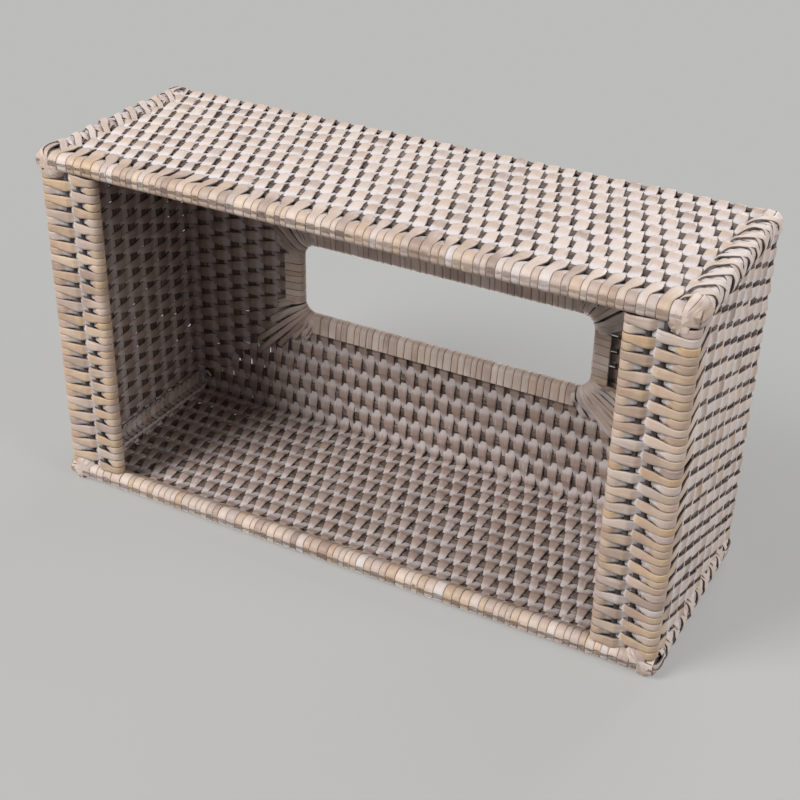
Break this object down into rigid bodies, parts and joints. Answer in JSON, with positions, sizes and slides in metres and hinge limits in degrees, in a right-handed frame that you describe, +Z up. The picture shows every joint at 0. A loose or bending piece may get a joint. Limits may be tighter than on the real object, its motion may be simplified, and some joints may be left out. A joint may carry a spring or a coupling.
{
  "type": "tissue box cover",
  "caption": "Rectangular woven rattan tissue box cover, open underneath, with lips at both ends and a long slot with rounded corners in the top.",
  "frame": {"origin": "centre of the open bottom, in the plane that the long rims rest on", "axes": "+X along the length, +Y across the width, +Z up from the open bottom to the top panel with the slot"},
  "size_m": [0.27, 0.151, 0.093],
  "materials": {
    "cane": "round rattan core under a grey-white wash, matt",
    "strip": "split rattan peel under a worn white wash, matt",
    "wrapping": "split rattan peel wound closely, worn white wash, satin on the edges"
  },
  "bodies": {
    "root": {"back_edge_cane": "cane", "back_rim_cane": "cane", "back_rim_wrapping": "wrapping", "back_strips": "strip", "back_top_canes": "cane", "back_wall_canes": "cane", "corner_lacing_back_left": "strip", "corner_lacing_back_right": "strip", "corner_lacing_front_left": "strip", "corner_lacing_front_right": "strip", "corner_post_back_left": "cane", "corner_post_back_right": "cane", "corner_post_front_left": "cane", "corner_post_front_right": "cane", "front_edge_cane": "cane", "front_rim_cane": "cane", "front_rim_wrapping": "wrapping", "front_strips": "strip", "front_top_canes": "cane", "front_wall_canes": "cane", "left_edge_cane": "cane", "left_lip_inner_cane": "cane", "left_lip_middle_canes": "cane", "left_lip_wrapping": "wrapping", "left_rim_cane": "cane", "left_strips": "strip", "left_top_canes": "cane", "left_wall_canes": "cane", "right_edge_cane": "cane", "right_lip_inner_cane": "cane", "right_lip_middle_canes": "cane", "right_lip_wrapping": "wrapping", "right_rim_cane": "cane", "right_strips": "strip", "right_top_canes": "cane", "right_wall_canes": "cane", "slot_rim_cane": "cane", "slot_rim_wrapping": "wrapping"}
  },
  "joints": []
}
